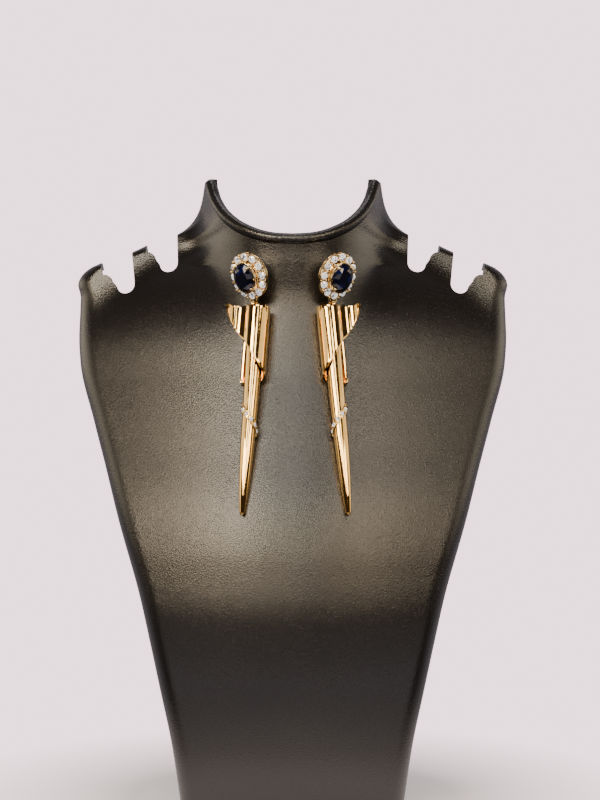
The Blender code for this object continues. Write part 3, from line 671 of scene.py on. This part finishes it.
# the hinge's own frame, and the spike's: middle of the rim, +Z up the spike, -Y to the front
def dropFrames(name, earring):
    sign = earring["sign"]
    side, front = math.tan(math.radians(earring["lean"])), math.tan(math.radians(earring["forward"]))
    high = -Vector((sign * side, -front, -1)).normalized()
    level = Vector((-high.x, -high.y, 0)).normalized()
    axis = Vector((-level.y, level.x, 0))
    spot = Vector(joints[name + "_drop_swing"]["pos_m"])
    hinge = Matrix.Translation(spot) @ Matrix((axis, high.cross(axis), high)).transposed().to_4x4()
    side = (Vector((1, 0, 0)) - high * high.x).normalized()
    turn = Matrix((side, high.cross(side), high)).transposed().to_4x4()
    rim = spot - side * sign * drop["bailOffset"] - high * drop["rimBelow"]
    return hinge, Matrix.Translation(rim) @ turn


def spikeRadius(down):
    return drop["topRadius"] * readCurve(drop["spike"], down / drop["length"])


def roundTube(angle, radius, down, sign):
    a = math.radians(angle)
    return Vector((-sign * radius * math.sin(a), -radius * math.cos(a), -down))


def bandFrame(angle, sign):  # a place on the band, the way out of it and the way across it
    def spot(at):
        down = band["start"] + band["fall"] * (at - band["from"]) / (band["to"] - band["from"])
        return roundTube(at, spikeRadius(down) + band["rise"], down, sign)

    out = roundTube(angle, 1, 0, sign)
    along = (spot(angle + 1) - spot(angle)).normalized()
    return spot(angle), out, out.cross(along).normalized()


# a sheet whose place at (share across, share down) is given by point
def mapGrid(columns, rows, point):
    bm = bmesh.new()
    bmesh.ops.create_grid(bm, x_segments=columns, y_segments=rows, size=0.5)
    for v in bm.verts:
        v.co = point(v.co.x + 0.5, v.co.y + 0.5)
    bm.normal_update()
    return bm


def thickSheet(name, bm, finish, wall, offset, edge, place):
    piece = newPiece(name, bm, finish, place)
    step = piece.modifiers.new("wall", "SOLIDIFY")
    step.thickness, step.offset, step.use_even_offset = wall, offset, True
    rim = piece.modifiers.new("rim", "BEVEL")
    rim.width, rim.segments = edge, 3
    rim.limit_method, rim.angle_limit = "ANGLE", math.radians(55)
    return settle(piece, 50)


def makeWrap(name, sign, place):
    middle = drop["tube"] - drop["wall"] / 2
    joint = roundTube(drop["wrapEdge"][0][0], middle, 0, sign)
    rows = []
    for out, back, down in drop["wing"]:
        spot = joint + Vector((sign * out, back, 0)) * drop["wingReach"]
        rows.append(Vector((spot.x, spot.y, down * drop["wrapDepth"])))
    first, last = drop["wrapEdge"][0][0], drop["wrapEdge"][-1][0]
    for n in range(33):
        angle = first + (last - first) * n / 32
        spot = roundTube(angle, middle, 0, sign)
        rows.append(Vector((spot.x, spot.y, readCurve(drop["wrapEdge"], angle) * drop["wrapDepth"])))
    path = smoothPath(rows, 4)

    def point(share, level):
        column = path[round(share * (len(path) - 1))]
        return Vector((column.x, column.y, -column.z * level))

    sheet = mapGrid(len(path) - 1, 16, point)
    return thickSheet(name + "Wrap", sheet, spikeGold, drop["wall"], 0, drop["wrapRound"], place)


def makeDrop(name, earring, hinge, place):
    sign, body = earring["sign"], name + "_drop_body"
    # the cone's outer line, from its top inside the cap to the round tip
    top, low, tip = drop["coneTop"], drop["length"] - drop["tipRadius"], drop["tipRadius"] / mm
    profile = [(0, -top / mm)]
    for n in range(61):
        down = top + (low - top) * n / 60
        if down < low * 0.95:
            profile.append((spikeRadius(down) / mm, -down / mm))
    edge = profile[-1]
    for share in (0.25, 0.5, 0.75):
        profile.append((edge[0] + (tip - edge[0]) * share, edge[1] + (-low / mm - edge[1]) * share))
    for n in range(8):
        a = math.pi / 2 * n / 7
        profile.append((tip * math.cos(a), -low / mm - tip * math.sin(a)))
    bm = bmesh.new()
    turned(bm, profile)
    turned(bm, drop["cap"])
    bmesh.ops.remove_doubles(bm, verts=bm.verts, dist=1e-7)
    bmesh.ops.transform(bm, matrix=place, verts=bm.verts)
    ringTurn = Matrix.Rotation(math.pi / 2, 4, "Y")
    turned(bm, drop["bail"], 40, hinge @ Matrix.Translation((0, 0, -drop["bailBelow"])) @ ringTurn)
    spike = newPiece(name + "Spike", bm, spikeGold, smooth=40)
    wrap = makeWrap(name, sign, place)

    half = band["width"] / 2

    def point(share, level):
        here, out, across = bandFrame(band["from"] + (band["to"] - band["from"]) * share, sign)
        return here + across * half * (2 * level - 1)

    sheet = mapGrid(90, 6, point)
    sheet.faces.ensure_lookup_table()
    mid = sheet.faces[len(sheet.faces) // 2]
    spot = mid.calc_center_median()
    if mid.normal.dot(Vector((spot.x, spot.y, 0))) < 0:
        bmesh.ops.reverse_faces(sheet, faces=sheet.faces)
    ribbon = thickSheet(name + "Band", sheet, spikeGold, band["wall"], -1, band["round"], place)

    step, radius = (band["last"] - band["first"]) / (band["stones"] - 1), band["stoneRadius"]
    wide, drain = radius + band["seatGap"], Matrix.Translation((0, 0, -band["seatBelow"]))
    seats, beads = bmesh.new(), bmesh.new()
    for n in range(band["stones"]):
        angle = band["first"] + step * n
        here, out, across = bandFrame(angle, sign)
        turn = Matrix((across.cross(out).normalized(), across, out)).transposed().to_4x4()
        seat = place @ Matrix.Translation(here) @ turn
        bmesh.ops.create_cone(seats, cap_ends=True, segments=24, radius1=wide * 0.4, radius2=wide,
                              depth=band["seatDepth"], matrix=seat @ drain)
        stone = bmesh.new()
        brilliant(stone, radius, radius, seat, **band["cut"])
        piece = newPiece(f"{name}PaveStone{n + 1}", stone, clear, smooth=0)
        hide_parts(f"{name}_pave_stone_{n + 1}")
        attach(piece, body)
        for near in ((-0.5, 0.5) if n == 0 else (0.5,)):
            here, out, across = bandFrame(angle + step * near, sign)
            for at in (-band["beadShare"], band["beadShare"]):
                ball(beads, here + across * half * at, band["bead"])
    cutAway(ribbon, newPiece("seatCutter", seats, gold), 50)
    beadPiece = newPiece(name + "BandBeads", beads, spikeGold, place, smooth=60)
    for piece in (spike, wrap, ribbon, beadPiece):
        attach(piece, body)
    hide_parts(name + "_drop")


for name, earring in earrings.items():
    place = clusterFrame(earring)
    hinge, spikePlace = dropFrames(name, earring)
    makeSetting(name, earring, place, hinge)
    makeClusterStones(name, place)
    makeDrop(name, earring, hinge, spikePlace)
    print(name, "earring made")


# studio

studio = {
    "paper": (0.80, 0.745, 0.77, 1), "fibre": (0.74, 0.69, 0.71, 1), "floorRadius": 0.32,
    "floorFade": (0.055, 0.13),  # from whole to clear, in metres from the middle
    "seen": (2.95, 2.20, 2.42, 1), "sky": (0.42, 0.38, 0.40, 1), "shade": (0.030, 0.022, 0.017, 1),
    "reach": 0.9, "aim": Vector((0, 0, 0.12)),  # the lights' distance and the place they face
    # name, azimuth from and to, elevation from and to in degrees, brightness, colour
    "boxes": [("leftWall", -130, -75, 4, 24, 1.5, (1, 0.84, 0.60)),
              ("leftNear", -75, -47, 18, 26, 1.25, (1, 0.84, 0.60)),
              ("leftTube", -29, -16, 24, 35, 8.0, (1, 0.92, 0.76)),
              ("rightTube", 0, 11, 24, 35, 8.0, (1, 0.92, 0.76)),
              ("rightNear", 40, 75, 19, 28, 1.3, (1, 0.84, 0.60)),
              ("rightWall", 75, 125, 4, 24, 1.3, (1, 0.84, 0.60)),
              ("lowLeft", -52, -28, 19, 25, 17.0, (1, 0.79, 0.55)),
              ("lowMiddle", -24, 9, 18.5, 25, 7.5, (1, 0.79, 0.55)),
              ("lowRight", 18, 48, 18, 25, 8.5, (1, 0.79, 0.55)),
              ("highLeft", -42, -28, 30, 37, 24.0, (1, 0.84, 0.64)),
              ("highMiddle", -20, 12, 41, 48, 6.0, (1, 0.95, 0.86)),
              ("highRight", 28, 46, 32, 40, 9.0, (1, 0.86, 0.68)),
              ("throatBox", -6, 6, 54, 61, 6.0, (1, 0.86, 0.66)),
              ("tableGlow", -60, 60, -26, -5, 0.55, (1, 0.92, 0.94)),
              ("topBox", 130, 230, 60, 100, 1.4, (1, 0.97, 0.95))],
}


def makeFloor():
    bm = bmesh.new()
    bmesh.ops.create_circle(bm, cap_ends=True, segments=96, radius=studio["floorRadius"])
    floor = newPiece("floor", bm, floorLook(), smooth=0)


def floorLook():
    r = Recipe("pale paper")
    far = r.node("ShaderNodeVectorMath", {"operation": "LENGTH"}, {0: r.coordinates()}, 1)
    mask = r.spread(far, *studio["floorFade"])
    fibre = r.noise(60.0, 4.0)
    colour = r.blend(fibre * 0.15, studio["paper"], studio["fibre"])
    shader = r.node("ShaderNodeBsdfPrincipled", None, {
        "Base Color": colour, "Roughness": 0.8,
        "Emission Color": studio["paper"], "Emission Strength": 0.5})
    clearAir = r.node("ShaderNodeBsdfTransparent")
    mixed = r.node("ShaderNodeMixShader", None, {0: mask, 1: shader, 2: clearAir})
    r.node("ShaderNodeOutputMaterial", None, {0: mixed})
    return r.owner


# a soft light that fills this window of directions, as seen from the bust
def softBox(name, left, right, bottom, top, bright, colour):
    reach = studio["reach"]
    parts = max(1, round((right - left) / 45))
    step = (right - left) / parts
    e = math.radians((bottom + top) / 2)
    width = 2 * reach * math.tan(math.radians(step / 2)) * math.cos(e)
    height = 2 * reach * math.tan(math.radians((top - bottom) / 2))
    for n in range(parts):
        a = math.radians(left + step * (n + 0.5))
        light = bpy.data.lights.new(f"{name}{n}", "AREA")
        light.shape, light.size, light.size_y, light.color = "RECTANGLE", width, height, colour
        light.energy = bright * math.pi * width * height
        held = bpy.data.objects.new(f"{name}{n}", light)
        bpy.context.scene.collection.objects.link(held)
        way = Vector((math.sin(a) * math.cos(e), -math.cos(a) * math.cos(e), math.sin(e)))
        held.visible_camera = False
        held.location = studio["aim"] + way * reach
        held.rotation_euler = (-way).to_track_quat("-Z", "Y").to_euler()


def makeWorld():
    world = bpy.data.worlds.new("studio")
    bpy.context.scene.world = world
    r = Recipe("studio", world)
    way = r.node("ShaderNodeSeparateXYZ", None, {0: r.node("ShaderNodeTexCoord", output="Generated")}, 1)
    back = r.spread(way, -0.25, 0.55)
    lit = r.blend(back, studio["shade"], studio["sky"])
    seen = r.node("ShaderNodeLightPath", output="Is Camera Ray")
    colour = r.blend(seen, lit, studio["seen"])
    ground = r.node("ShaderNodeBackground", None, {"Color": colour, "Strength": 1.0})
    r.node("ShaderNodeOutputWorld", None, {0: ground})


makeFloor()
makeWorld()
for box in studio["boxes"]:
    softBox(*box)

lens = bpy.data.cameras.new("camera")
lens.lens, lens.sensor_width, lens.clip_start = 81, 36, 0.01
camera = bpy.data.objects.new("camera", lens)
bpy.context.scene.collection.objects.link(camera)
camera.location = (0.00257, -0.613, 0.13433)
camera.rotation_euler = (math.pi / 2, 0, 0)
bpy.context.scene.camera = camera
print("studio made")
